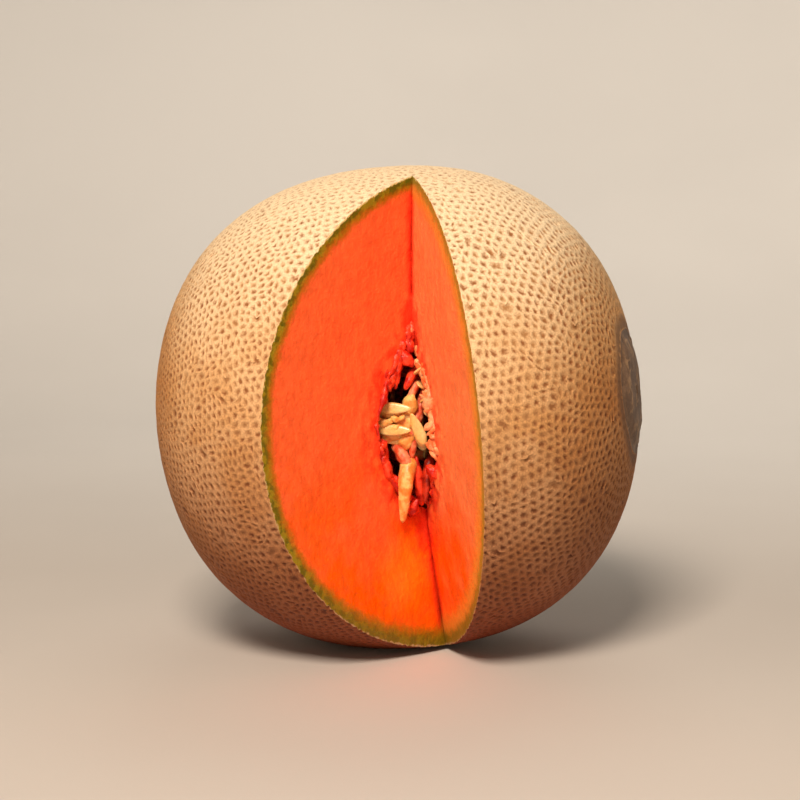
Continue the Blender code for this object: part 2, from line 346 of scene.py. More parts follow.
def corky_net_material(colours):
    """Dry cork grown over the skin: matt, pale on the ridges and brown in the pits."""
    material, tree, place = new_material("corky_netted_rind", Roughness=0.74, IOR=1.46)
    pit, tone, bare = (
        add_node(tree, "Attribute", output="Fac", attribute_name=name)
        for name in ("pit", "tone", "bare"))
    height = add_node(tree, "SeparateXYZ", {0: place}, 2)
    ragged = add_node(
        tree, "Math", {0: pit, 1: patches(place, 0.9, -0.16, 0.16)}, operation="ADD")
    # The ridges turn paler towards the top: partly bleached cork, partly painted light from above.
    ridge = coated(
        tree, colours.ridge,
        (colours.ridge_warm, patches(place, 26), (0.2, 1.0), (0.0, 0.8)),
        (colours.ridge_top_bleach_and_light, height, (80 * MM, 150 * MM), (0.0, 0.85)))
    grit = patches(place, 0.55, 0.84, 1.12)
    ridge = add_node(tree, "Mix", {0: 1.0, 6: ridge, 7: grit}, **MULTIPLIED)
    brown = coated(tree, colours.pit, (PALER_PIT, tone, (0, 1), (0, 1)))
    wall = add_node(tree, "Mix", {0: 0.45, 6: ridge, 7: brown}, **MIXED)
    # Round the scars the net gives way to bare skin, darkened by painted shade.
    colour = coated(
        tree, ridge,
        (wall, ragged, (0.19, 0.50), (0, 1)),
        (brown, ragged, (0.48, 0.86), (0, 1)),
        (BARE_SKIN_AND_SHADE, bare, (0.1, 1.0), (0.0, 0.8)))
    # Darker towards the bottom: painted shade from above, with the soil tint of the side that lay on
    # the ground.
    shade_and_soil_below = add_node(
        tree, "MapRange", {0: height, 1: -5 * MM, 2: 118 * MM, 3: 1.0, 4: 0.0}, **EASED)
    colour = add_node(tree, "Mix", {0: shade_and_soil_below, 6: colour, 7: colours.soil_tint_and_shade}, **MULTIPLIED)
    along = add_node(tree, "SeparateXYZ", {0: place})
    from_middle = add_node(tree, "Math", {0: along}, operation="ABSOLUTE")
    near_ends = add_node(
        tree, "MapRange", {0: from_middle, 1: 52 * MM, 2: 73 * MM, 3: 0.0, 4: 1.0}, **EASED)
    colour = add_node(tree, "Mix", {0: near_ends, 6: colour, 7: END_SHADE}, **MULTIPLIED)
    return dress(material, colour, patches(place, 0.7, detail=4.0), 0.12 * MM)


def cut_flesh_material(colours, name):
    """Ripe flesh cut by a knife: wet, slightly see-through, green under the skin."""
    material, tree, place = new_material(
        name, IOR=1.36, Subsurface_Weight=0.18, Subsurface_Scale=2.5 * MM,
        Subsurface_Radius=(1.0, 0.35, 0.12))
    depth, hollow, line, right, torn = (
        add_node(tree, "Attribute", output="Fac", attribute_name=measure)
        for measure in CUT_MEASURES)
    height = add_node(tree, "SeparateXYZ", {0: place}, 2)
    cloudy_height, ragged_hollow, ragged_torn, wavy_depth, ragged_line, ragged_skin = (
        add_node(
            tree, "Math", {0: measure, 1: patches(place, size, -spread, spread)},
            operation="ADD")
        for measure, size, spread in (
            (height, 24, 14 * MM), (hollow, 5, 0.10), (torn, 3, 0.24), (depth, 3.5, 0.55 * MM),
            (line, 3.5, 0.7 * MM), (depth, 2.2, 0.35 * MM)))
    # A brown band along the line where the cuts meet, wider towards the bottom: painted shadow in the
    # crease.
    crease_shadow_below = add_node(tree, "Math", {0: height, 1: 0.12, 2: line}, operation="MULTIPLY_ADD")
    thicker_below = add_node(
        tree, "MapRange", {0: height, 1: 4 * MM, 2: 42 * MM, 3: 0.7, 4: 1.0}, **EASED)
    rind_depth = add_node(tree, "Math", {0: wavy_depth, 1: thicker_below}, operation="MULTIPLY")
    to_yellow = add_node(
        tree, "VectorMath", {0: place, 1: YELLOW_SPOT}, "Value", operation="DISTANCE")
    flesh = coated(
        tree, colours.flesh_upper,
        (colours.flesh_right, right, (0, 1), (0.0, 0.75)),
        (colours.flesh_lower, cloudy_height, (16 * MM, 70 * MM), (1, 0)),
        (colours.flesh_yellow, to_yellow, (3 * MM, 17 * MM), (0.5, 0.0)))
    upright = add_node(tree, "VectorMath", {0: place, 1: (1.0, 1.0, 0.45)}, operation="MULTIPLY")
    fibres = patches(upright, 2.2, 0.88, 1.08)
    flesh = add_node(tree, "Mix", {0: 1.0, 6: flesh, 7: fibres}, **MULTIPLIED)
    flesh = coated(
        tree, flesh,
        (colours.flesh_red, ragged_hollow, (0.98, 1.20), (0.8, 0.0)),
        (colours.flesh_red, ragged_torn, (0.12, 1.0), (0.0, 0.72)),
        (SEAM_RED, line, (0.3 * MM, 4.0 * MM), (0.7, 0.0)),
        (SEAM_DARK_RED, ragged_line, (0.2 * MM, 2.2 * MM), (0.55, 0.0)),
        (LOW_CREASE_SHADOW_BROWN, crease_shadow_below, (1.0 * MM, 5.5 * MM), (0.85, 0.0)))
    # The green rind darkens towards the bottom: painted shade.
    green = coated(
        tree, colours.green,
        (PALER_GREEN, patches(place, 2.8), (0.2, 0.8), (0, 1)),
        (RIGHT_GREEN, right, (0, 1), (0, 1)),
        (LOW_SHADED_GREEN, height, (8 * MM, 45 * MM), (0.5, 0.0)))
    inner = coated(tree, colours.rind_inner, (RIGHT_INNER_RIND, right, (0, 1), (0, 1)))
    flesh_starts = add_node(tree, "MapRange", {0: right, 3: 6.5 * MM, 4: 11 * MM})
    into_flesh = add_node(tree, "MapRange", {0: rind_depth, 1: 2.8 * MM, 2: flesh_starts}, **EASED)
    skin = coated(tree, LOW_SKIN, (colours.skin_line, height, (25 * MM, 100 * MM), (0, 1)))
    # The rind band turns browner towards the bottom: painted shade.
    colour = coated(
        tree, green,
        (inner, rind_depth, (1.6 * MM, 4.4 * MM), (0, 1)),
        (LOW_SHADED_RIND_BROWN, height, (4 * MM, 42 * MM), (0.25, 0.0)),
        (flesh, into_flesh, (0, 1), (0, 1)),
        (skin, ragged_skin, (0.45 * MM, 0.9 * MM), (1, 0)))
    # Juice cells are finer than this in a melon. They are drawn as coarse as they need to show.
    cells = add_node(tree, "TexVoronoi", {"Vector": place, "Scale": 1 / (1.1 * MM), "Detail": 1.0})
    grain = add_node(tree, "Math", {0: cells, 1: patches(place, 2.6)}, operation="ADD")
    return dress(material, colour, grain, 0.12 * MM, patches(place, 6, 0.28, 0.46))


def pulp_material(name):
    """Soft wet pulp: glossy and uneven, with patches of a deeper colour."""
    material, tree, place = new_material(
        name, IOR=1.36, Subsurface_Weight=0.25, Subsurface_Scale=2.0 * MM,
        Subsurface_Radius=(1.0, 0.4, 0.15), Coat_Weight=0.12, Coat_Roughness=0.25)
    fresh, dark = TWO_COLOURS[name]
    colour = coated(tree, linear(dark), (linear(fresh), patches(place, 3.6), (0, 1), (0, 1)))
    lumps = patches(place, 1.2)
    return dress(material, colour, lumps, 0.15 * MM, patches(place, 3, 0.28, 0.5))


def seed_coat_material(colours):
    """Seed coat, hard and smooth under a thin wet film: cream, with patches of honey."""
    material, tree, place = new_material(
        "wet_seed_coat", IOR=1.45, Subsurface_Weight=0.15, Subsurface_Scale=1.5 * MM,
        Subsurface_Radius=(1.0, 0.6, 0.3), Coat_Weight=0.3, Coat_Roughness=0.15)
    colour = coated(tree, colours.seed, (SEED_HONEY, patches(place, 9), (0, 1), (0, 1)))
    fibre = patches(place, 1.1, 0.86, 1.06)
    colour = add_node(tree, "Mix", {0: 1.0, 6: colour, 7: fibre}, **MULTIPLIED)
    wet = patches(place, 2.5, 0.22, 0.4)
    return dress(material, colour, patches(place, 0.9), 0.06 * MM, wet)


def scar_material(name):
    """Smooth dry skin with a little cork: dull, greyer than the net."""
    material, tree, place = new_material(name, Roughness=0.62, IOR=1.46)
    pale, dark = TWO_COLOURS[name]
    grit = patches(place, 0.8, 0.82, 1.1)
    cork = add_node(tree, "Attribute", output="Fac", attribute_name="cork")
    colour = coated(
        tree, linear(pale),
        (linear(dark), patches(place, 6), (0, 1), (0, 1)),
        (SCAR_CORK, cork, (0.1, 0.9), (0.0, 0.5)))
    colour = add_node(tree, "Mix", {0: 1.0, 6: colour, 7: grit}, **MULTIPLIED)
    return dress(material, colour, patches(place, 1.0), 0.14 * MM)


def board_material():
    """Painted board, matt, with a faint cloudiness."""
    material, tree, place = new_material("pale_board", Roughness=0.75)
    cloudiness = patches(place, 400, 0.97, 1.02)
    colour = add_node(tree, "Mix", {0: 1.0, 6: PALE_PAINT, 7: cloudiness}, **MULTIPLIED)
    return dress(material, colour, patches(place, 1.5), 0.02 * MM)


def smoothstep(low, high, value):
    share = min(max((value - low) / (high - low), 0.0), 1.0)
    return share * share * (3.0 - 2.0 * share)


def in_fruit(point):
    """The fruit's own place of a point: X along its length, from its middle."""
    return LAID_DOWN.transposed() @ (point - MIDDLE)


def from_fruit(local):
    return MIDDLE + LAID_DOWN @ local


def skin_reach(direction):
    """How far the skin lies from the middle of the fruit in one of its own directions."""
    along = abs(direction.x / HALF_LENGTH) ** SHOULDER_POWER
    around = (math.hypot(direction.y, direction.z) / RADIUS) ** SHOULDER_POWER
    return (along + around) ** (-1 / SHOULDER_POWER)


def depth_below_skin(point):
    return (1.0 - 1.0 / skin_reach(in_fruit(point))) * RADIUS


def length_at(distance):
    """How far along the fruit its skin lies at this distance from its long axis."""
    share = 1.0 - (distance / RADIUS) ** SHOULDER_POWER
    return HALF_LENGTH * max(share, 0.0) ** (1.0 / SHOULDER_POWER)


def wedge_line(height):
    """Where the two cuts meet, at this height above the middle of the fruit."""
    share = height / RADIUS
    x = WEDGE_LINE_X + WEDGE_LEAN_X * share + WEDGE_BOW * share ** 2
    return MIDDLE + Vector((x, WEDGE_LINE_Y + WEDGE_LEAN_Y * share, height))


def outward_way(side):
    """Level and out along the right or left cut face, from the line where the two meet."""
    half = WEDGE_ANGLE / 2
    return Vector((side * math.sin(half), -math.cos(half), 0.0))


def in_hollow_radii(offset):
    """An offset measured in the hollow's own three radii, so that its wall is at 1."""
    return Vector([offset[axis] / HOLLOW_RADII[axis] for axis in range(3)])


def mesh_of(name, shape, finish=0):
    """The shape as a mesh with smooth faces, all of the finish with this number."""
    for face in shape.faces:
        face.smooth = True
        face.material_index = finish
    mesh = bpy.data.meshes.new(name)
    shape.to_mesh(mesh)
    shape.free()
    return mesh


def placed(name, data):
    """A new object in the scene that holds this mesh, light or camera."""
    thing = bpy.data.objects.new(name, data)
    bpy.context.scene.collection.objects.link(thing)
    return thing


def carved(mesh, materials, *cutters):
    """The mesh with each cutter's block taken away, as a new mesh."""
    for item in (mesh, *cutters):
        for material in materials:
            item.materials.append(material)
    body = placed("carved", mesh)
    tools = [placed("cutter", cutter) for cutter in cutters]
    for tool in tools:
        cut = body.modifiers.new("cut", "BOOLEAN")
        cut.operation = "DIFFERENCE"
        cut.solver = "MANIFOLD"
        cut.object = tool
    depsgraph = bpy.context.evaluated_depsgraph_get()
    result = bpy.data.meshes.new_from_object(body.evaluated_get(depsgraph))
    for thing in [body, *tools]:
        bpy.data.objects.remove(thing)
    sharpen_cuts(result)
    return result


def finished(name, mesh, slot, *materials, node="melon_body"):
    """A piece with its materials, on the one body, standing for a CAD node."""
    mesh.name = name
    for material in materials:
        mesh.materials.append(material)
    piece = placed(name, mesh)
    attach(piece, BODY)
    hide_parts(node)


def sharpen_cuts(mesh):
    """Marks an edge sharp at a steep angle and where two materials meet."""
    shape = bmesh.new()
    shape.from_mesh(mesh)
    for edge in shape.edges:
        two_finishes = len({face.material_index for face in edge.link_faces}) > 1
        if two_finishes or edge.calc_face_angle(0.0) > SHARP_ANGLE:
            edge.smooth = False
    open_edges = sum(1 for edge in shape.edges if len(edge.link_faces) != 2)
    count = len(shape.faces)
    shape.to_mesh(mesh)
    shape.free()
    if count == 0 or open_edges:
        raise RuntimeError(f"{mesh.name}: {count} faces, {open_edges} open edges after the cut")


def netting_strength(local):
    """How deep the pits are here: shallower on top and below, none round the two scars."""
    strength = 1.0 - SHALLOWER_ON_TOP * smoothstep(0.55 * RADIUS, 0.98 * RADIUS, local.z)
    strength *= 1.0 - SHALLOWER_BELOW * smoothstep(0.80 * RADIUS, 1.0 * RADIUS, -local.z)
    ragged = beyond_scar(local) + 3 * MM * noise.noise(local / (6 * MM))
    return strength * smoothstep(0.0, SCAR_FADE, ragged)


def scar_wobble(local):
    """Share by which a scar's outline stands out or in here, as none is a true circle."""
    angle = math.atan2(local.z, local.y)
    around = Vector((math.cos(angle), math.sin(angle), math.copysign(1.0, local.x)))
    return 1.0 + SCAR_WOBBLE * noise.noise(around * 1.6)


def beyond_scar(local):
    """How far outside the edge of the nearer scar this point lies."""
    across = math.hypot(local.y, local.z) / scar_wobble(local)
    edge = BUTTON_RADIUS + GROOVE_WIDTH if local.x > 0 else STALK_SCAR_RADIUS
    return across - edge


def net_cells(pitch, rng):
    """A ball of irregular six-sided cells, each one pit of the net to be."""
    shape = bmesh.new()
    # A third of the cells grow from the points, and two thirds from the triangles between them.
    cell_area = pitch ** 2 * math.sqrt(3) / 2
    count = int(4 * math.pi * RADIUS ** 2 / cell_area / 3)
    golden_turn = math.pi * (3 - math.sqrt(5))
    spacing = math.sqrt(4 * math.pi / count)
    for number in range(count):
        level = 1 - (2 * number + 1) / count
        height = level - NET_CROWDING * (1 - level ** 2)
        girth = math.sqrt(1 - height ** 2)
        spot = Vector((height, girth * math.cos(golden_turn * number),
                       girth * math.sin(golden_turn * number)))
        spot += Vector([rng.gauss(0.0, CELL_SCATTER * spacing) for axis in range(3)])
        shape.verts.new(spot.normalized())
    bmesh.ops.convex_hull(shape, input=shape.verts)
    bmesh.ops.bevel(
        shape, geom=shape.verts[:], offset=100 / 3, offset_type="PERCENT", affect="VERTICES",
        segments=1, profile=0.5, material=-1)
    for corner in shape.verts:
        shift = Vector([rng.gauss(0.0, CORNER_SCATTER * spacing) for axis in range(3)])
        corner.co = (corner.co.normalized() + shift).normalized()
    return shape


def merge_some_cells(shape, share, rng):
    """Takes out ridges at random, so that two pits become one long one."""
    edges = shape.edges[:]
    rng.shuffle(edges)
    joined = set()
    going = []
    for edge in edges:
        first, second = edge.link_faces
        if first in joined or second in joined:
            continue
        joined.update((first, second))
        going.append(edge)
        if len(joined) > share * len(shape.faces):
            break
    bmesh.ops.dissolve_edges(shape, edges=going, use_verts=False)


def ridge_halves(cells, sizes, rng):
    """Half the width of the ridge round each cell: thin on small cells, thick on top."""
    usual_size = sizes.net_pitch * CELL_RADIUS
    halves = []
    for cell in cells:
        size = math.sqrt(cell.calc_area() / math.pi) * RADIUS / usual_size
        above = smoothstep(0.25, 0.95, cell.calc_center_median().z)
        thickness = (0.89 + 0.11 * above) * rng.uniform(0.86, 1.14)
        halves.append(sizes.ridge_width / 2 * min(size, 1.2) * thickness / RADIUS)
    return halves


def draw_in_pit(cell, ridge_half):
    """Draws a pit in from its ridges, and its corners towards a circle."""
    middle = cell.calc_center_median()
    offsets = [corner.co - middle for corner in cell.verts]
    usual = sum(offset.length for offset in offsets) / len(offsets)
    for corner, offset in zip(cell.verts, offsets):
        length = offset.length
        rounded = length + PIT_ROUNDING * (usual - length)
        reach = max(rounded - ridge_half / math.cos(math.pi / 6), LEAST_PIT * length)
        corner.co = middle + offset * min(reach / length, GREATEST_PIT)


def sink_pits(shape, sizes, rng):
    """Gives every cell its ridge and pit, with what the colours follow in three layers."""
    pit, tone, bare = (shape.verts.layers.float.new(name) for name in ("pit", "tone", "bare"))
    cells = shape.faces[:]
    halves = ridge_halves(cells, sizes, rng)
    bmesh.ops.inset_individual(shape, faces=cells, thickness=0.0, depth=0.0)
    for cell, ridge_half in zip(cells, halves):
        shade = rng.random()
        draw_in_pit(cell, ridge_half)
        for corner in cell.verts:
            corner[pit] = HALF_DOWN
            corner[tone] = shade
    middles = bmesh.ops.poke(shape, faces=cells, offset=0.0, center_mode="MEAN")["verts"]
    for corner in middles:
        corner[pit] = 1.0
        corner[tone] = corner.link_edges[0].other_vert(corner)[tone]
    for corner in shape.verts:
        corner.co = net_place(corner.co, corner[pit], sizes)
        local = in_fruit(corner.co)
        corner[pit] *= 0.35 + 0.65 * netting_strength(local)
        corner[bare] = smoothstep(SCAR_FADE, 0.0, beyond_scar(local))


def net_place(direction, pit_share, sizes):
    """Where a point of the net lies: ridge tops on the skin, pits below it."""
    direction = direction.normalized()
    local = direction * skin_reach(direction)
    sunk = sizes.pit_depth * (PIT_WALL_DEPTH if pit_share == HALF_DOWN else pit_share)
    sunk *= netting_strength(local)
    uneven = 0.5 + 0.5 * noise.noise(local / (3.2 * MM))
    swell = 0.5 + 0.5 * noise.noise(local / (30 * MM))
    local -= direction * (sunk + RIDGE_UNEVENNESS * uneven + RIND_SWELLING * swell)
    point = from_fruit(local)
    point.z = max(point.z, 0.0)
    return point


def add_inner_ball(shape):
    """The smooth inner face of the rind, shared with the flesh."""
    inner = 1.0 - RIND_THICKNESS / RADIUS
    for corner in bmesh.ops.create_icosphere(shape, subdivisions=4, radius=1.0)["verts"]:
        direction = corner.co.normalized()
        corner.co = from_fruit(direction * skin_reach(direction) * inner)


def cut_measures(point):
    """The measures that the relief and the colours of the cut faces follow here."""
    height = point.z - MIDDLE.z
    hollow = in_hollow_radii(point - HOLLOW_CENTRE).length
    line = wedge_line(height)
    beside_line = math.hypot(point.x - line.x, point.y - line.y)
    torn_reach = 7.5 * MM + 6.5 * MM * smoothstep(38 * MM, 22 * MM, height)
    torn = smoothstep(torn_reach, 1.0 * MM, beside_line)
    torn *= smoothstep(-56 * MM, -36 * MM, height) * smoothstep(45 * MM, 33 * MM, height)
    right_side = smoothstep(-0.5 * MM, 0.5 * MM, point.x - line.x)
    return depth_below_skin(point), hollow, beside_line, right_side, torn


def mark_cut_faces(mesh):
    """Keeps the measures on the mesh, where the material reads them."""
    rows = [cut_measures(corner.co) for corner in mesh.vertices]
    for name, values in zip(CUT_MEASURES, zip(*rows)):
        mesh.attributes.new(name, "FLOAT", "POINT").data.foreach_set("value", values)


def slice_relief(point, grain):
    """How far the cut face stands out of the knife's plane here."""
    depth, hollow, *_, torn = cut_measures(point)
    inside = smoothstep(4.5 * MM, 9 * MM, depth)
    near = max(smoothstep(1.34, 1.02, hollow), 0.8 * torn)
    fine = noise.noise(point / (2.4 * MM)) + 0.5 * noise.noise(point / (1.3 * MM))
    broad = noise.noise(point / (13 * MM))
    fibres = noise.noise(Vector((point.x / (2.6 * MM), point.y / (2.6 * MM), point.z / (5 * MM))))
    return inside * grain * (0.45 * fine + 1.3 * broad + 5.0 * near * fibres)


def wedge_cutter(grain, finish=1):
    """The block that the two knife cuts take out, with the grain of the flesh on it."""
    reach_steps = int(CUT_FACE_REACH / SLICE_STEP)
    height_steps = int(2 * CUT_HALF_HEIGHT * RADIUS / SLICE_STEP)
    shape = bmesh.new()
    bmesh.ops.create_grid(shape, x_segments=2 * reach_steps, y_segments=height_steps, size=1.0)
    for corner in shape.verts:
        column = round(corner.co.x * reach_steps)
        corner.co = slice_place(column, corner.co.y * CUT_HALF_HEIGHT * RADIUS, grain)
    rim = [edge for edge in shape.edges if edge.is_boundary]
    pushed = bmesh.ops.extrude_edge_only(shape, edges=rim)["geom"]
    for corner in pushed:
        if isinstance(corner, bmesh.types.BMVert):
            corner.co.y = MIDDLE.y - WEDGE_REACH
    outer = [edge for edge in pushed if isinstance(edge, bmesh.types.BMEdge) and edge.is_boundary]
    bmesh.ops.contextual_create(shape, geom=outer)
    bmesh.ops.recalc_face_normals(shape, faces=shape.faces)
    return mesh_of("wedge_cutter", shape, finish)


def slice_place(column, height, grain):
    """A point of the cut faces: columns run outwards from the line where they meet."""
    start = wedge_line(height)
    half = WEDGE_ANGLE / 2
    side = math.copysign(1.0, column)
    if column == 0:
        return start + OVERCUT_DEPTH * Vector((-math.sin(half), math.cos(half), 0.0))
    distance = (abs(column) - 1) * SLICE_STEP + OVERCUT_WIDTH
    into_flesh = Vector((side * math.cos(half), math.sin(half), 0.0))
    point = start + outward_way(side) * distance
    return point + into_flesh * slice_relief(point, grain)


def hollow_cutter(lumps):
    """The seed hollow, with the soft lumps of its lining."""
    shape = bmesh.new()
    bmesh.ops.create_icosphere(shape, subdivisions=6, radius=1.0)
    for corner in shape.verts:
        direction = corner.co.normalized()
        point = direction * HOLLOW_RADII
        coarse = noise.noise(point / (7 * MM))
        fibres = noise.noise(Vector((point.x / (9 * MM), point.y / (2.8 * MM), point.z / (2.8 * MM))))
        lift = lumps * (0.55 * coarse + 0.6 * fibres + 0.25 * noise.noise(point / (1.7 * MM)))
        corner.co = HOLLOW_CENTRE + point + direction * lift
    return mesh_of("hollow_cutter", shape, 1)


def scar_cutter(side, radius):
    """A short round plug on the long axis, where one of the two scars is set in."""
    shape = bmesh.new()
    bmesh.ops.create_cone(
        shape, cap_ends=True, segments=96, radius1=radius, radius2=radius, depth=1.0)
    turn = Matrix.Rotation(math.pi / 2, 3, "Y")
    bmesh.ops.rotate(shape, matrix=turn, verts=shape.verts)
    inner = length_at(radius) - SCAR_SEAT_DEPTH
    for corner in shape.verts:
        along = inner if corner.co.x * side < 0 else RADIUS * 1.2
        corner.co.x = side * along
        wobble = scar_wobble(corner.co)
        corner.co.y *= wobble
        corner.co.z *= wobble
        corner.co = from_fruit(corner.co)
    bmesh.ops.recalc_face_normals(shape, faces=shape.faces)
    return mesh_of("scar_cutter", shape)


def turned_piece(outline, axis, steps):
    """A shape made by a full turn of an outline of points about one axis."""
    shape = bmesh.new()
    corners = [shape.verts.new(point) for point in outline]
    edges = [shape.edges.new(pair) for pair in zip(corners, corners[1:])]
    bmesh.ops.spin(
        shape, geom=corners + edges, cent=(0, 0, 0), axis=axis, angle=2 * math.pi,
        steps=steps, use_merge=True)
    bmesh.ops.remove_doubles(shape, verts=shape.verts, dist=0.00001)
    bmesh.ops.recalc_face_normals(shape, faces=shape.faces)
    return shape


def button_height(distance):
    """How far along the fruit the button's top lies at this distance from its middle."""
    scar = SCAR_DEPTH * smoothstep(SCAR_RADIUS, 0.35 * SCAR_RADIUS, distance)
    rise = BUTTON_RISE * smoothstep(0.98 * BUTTON_RADIUS, 0.7 * BUTTON_RADIUS, distance)
    from_groove = abs(distance - BUTTON_RADIUS) / GROOVE_WIDTH
    groove = GROOVE_DEPTH * smoothstep(0.9, 0.0, from_groove)
    return length_at(distance) - BUTTON_SINK + rise - scar - groove


def stalk_height(distance):
    """How far along the fruit the corky rim and dish of the stalk scar lie."""
    dish = STALK_SCAR_DEPTH * smoothstep(STALK_SCAR_RADIUS, 0.55 * STALK_SCAR_RADIUS, distance)
    rim = STALK_RIM * smoothstep(0.5, 0.0, abs(distance / STALK_SCAR_RADIUS - 0.95))
    return length_at(distance) - STALK_SINK + rim - dish


def scar_outline(side, height_at, outer, rings):
    """Points of a scar's top from its middle to its edge, and of its hidden underside."""
    rounds = [outer * number / rings for number in range(rings + 1)]
    underside = length_at(outer) - SCAR_PIECE_DEPTH
    outline = [(height_at(distance), distance) for distance in rounds]
    outline += [(underside, outer), (underside, 0.0)]
    return [(side * along, distance, 0.0) for along, distance in outline]


def roughen_scar(shape, side, height, scar_radius):
    """Fine cracks round the scar, shallow dents and the last thin threads of cork."""
    cork = shape.verts.layers.float.new("cork")
    for corner in shape.verts:
        local = corner.co
        distance = math.hypot(local.y, local.z)
        angle = math.atan2(local.z, local.y)
        around = Vector((math.cos(angle) * 2.4, math.sin(angle) * 2.4, distance / (3.5 * MM)))
        dents = 0.5 + 0.5 * noise.noise(local / (4.5 * MM))
        cracks = max(0.0, noise.noise(around * 1.9)) * smoothstep(0.0, scar_radius, distance)
        nearest, second = noise.voronoi(local / (3.6 * MM))[0][:2]
        ridge = smoothstep(0.20, 0.05, second - nearest)
        ridge *= smoothstep(-0.25, 0.25, noise.noise(local / (5 * MM)))
        corner[cork] = ridge
        wobble = scar_wobble(local)
        sunk = side * height * (0.6 * dents + 0.9 * cracks - 0.8 * ridge)
        corner.co = from_fruit(Vector((local.x - sunk, local.y * wobble, local.z * wobble)))


def make_rind(context):
    sizes = context.scene.melon_sizes
    colours = context.scene.melon_colours
    rng = random.Random(7)
    shape = net_cells(sizes.net_pitch, rng)
    merge_some_cells(shape, sizes.merged_share, rng)
    sink_pits(shape, sizes, rng)
    bmesh.ops.recalc_face_normals(shape, faces=shape.faces)
    outside = set(shape.faces)
    add_inner_ball(shape)
    bmesh.ops.reverse_faces(shape, faces=[face for face in shape.faces if face not in outside])
    materials = (corky_net_material(colours), cut_flesh_material(colours, "cut_melon_rind"))
    mesh = carved(
        mesh_of("melon_rind", shape), materials, wedge_cutter(sizes.slice_grain),
        scar_cutter(BLOSSOM_SIDE, BUTTON_SEAT_RADIUS), scar_cutter(STALK_SIDE, STALK_SEAT_RADIUS))
    mark_cut_faces(mesh)
    finished("melon_rind", mesh, "netted_rind")


def make_scars():
    # Piece, finish, side, profile, radius of the seat and scar, relief, rings, steps round.
    scars = (
        ("blossom_button", "blossom_skin_and_shade", BLOSSOM_SIDE, button_height,
         BUTTON_SEAT_RADIUS, SCAR_RADIUS, 0.2 * MM, 56, 150),
        ("stalk_scar", "dry_stalk_scar", STALK_SIDE, stalk_height,
         STALK_SEAT_RADIUS, STALK_SCAR_RADIUS, 0.5 * MM, 26, 96))
    for name, finish, side, height_at, seat_radius, scar_radius, relief, rings, steps in scars:
        outline = scar_outline(side, height_at, seat_radius - FITTING_GAP, rings)
        shape = turned_piece(outline, (1, 0, 0), steps)
        roughen_scar(shape, side, relief, scar_radius)
        finished(name, mesh_of(name, shape), "netted_rind", scar_material(finish))


def make_flesh(context):
    sizes = context.scene.melon_sizes
    shape = bmesh.new()
    add_inner_ball(shape)
    flesh = cut_flesh_material(context.scene.melon_colours, "cut_melon_flesh")
    # The seed hollow's lining is deep red, darkened further by painted shade.
    mesh = carved(
        mesh_of("melon_flesh", shape), (flesh, pulp_material("wet_hollow_lining_and_shade")),
        wedge_cutter(sizes.slice_grain, 0), hollow_cutter(sizes.pulp_lumps))
    mark_cut_faces(mesh)
    finished("melon_flesh", mesh, "seed_pulp")


def seed_frame(node):
    """Where a CAD seed hangs and how it lies: its pointed end and three directions."""
    corners = [corner.co.copy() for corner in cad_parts[node].data.vertices]
    middle = sum(corners, Vector()) / len(corners)
    one_end = max(corners, key=lambda corner: (corner - middle).length)
    other_end = max(corners, key=lambda corner: (corner - one_end).length)
    axis = (other_end - one_end).normalized()

    def off_axis(corner):
        offset = corner - middle
        return offset - axis * offset.dot(axis)

    def fullness(end):
        near = [off_axis(corner).length for corner in corners
                if (corner - end).length < 0.4 * SEED_LENGTH]
        return max(near)

    tail, head = sorted((one_end, other_end), key=fullness)
    length_way = (head - tail).normalized()
    width_way = off_axis(max(corners, key=lambda corner: off_axis(corner).length)).normalized()
    thick_way = length_way.cross(width_way)
    return tail, Matrix((length_way, width_way, thick_way)).transposed()


def seed_shape(rng):
    """A flat drop along X with a rounded rim, a slight bend and its point at the origin."""
    shape = bmesh.new()
    bmesh.ops.create_uvsphere(shape, u_segments=22, v_segments=14, radius=0.5)
    bmesh.ops.rotate(shape, matrix=Matrix.Rotation(math.pi / 2, 3, "Y"), verts=shape.verts)
    bend = rng.uniform(-0.5, 0.5) * MM
    plump = rng.uniform(0.92, 1.04)
    for corner in shape.verts:
        spot = corner.co.copy()
        pointing = 1.0 - SEED_POINTING * (0.5 - spot.x)
        flat = 1.0 - 0.22 * smoothstep(0.42, 0.10, abs(spot.y)) * (1 - 2 * abs(spot.x))
        corner.co.x = (spot.x + 0.5) * SEED_LENGTH
        corner.co.y = spot.y * SEED_WIDTH * pointing * plump
        corner.co.z = spot.z * SEED_THICKNESS * pointing * flat
        corner.co.z += bend * (0.25 - spot.x ** 2)
    return shape


def make_seeds(context):
    material = seed_coat_material(context.scene.melon_colours)
    rng = random.Random(11)
    for number in ALL_SEEDS:
        node = f"seed_{number:02d}"
        tail, turn = seed_frame(node)
        shape = seed_shape(rng)
        for corner in shape.verts:
            corner.co = tail + turn @ corner.co
        finished(f"wet_{node}", mesh_of(node, shape), "seed_coat", material, node=node)


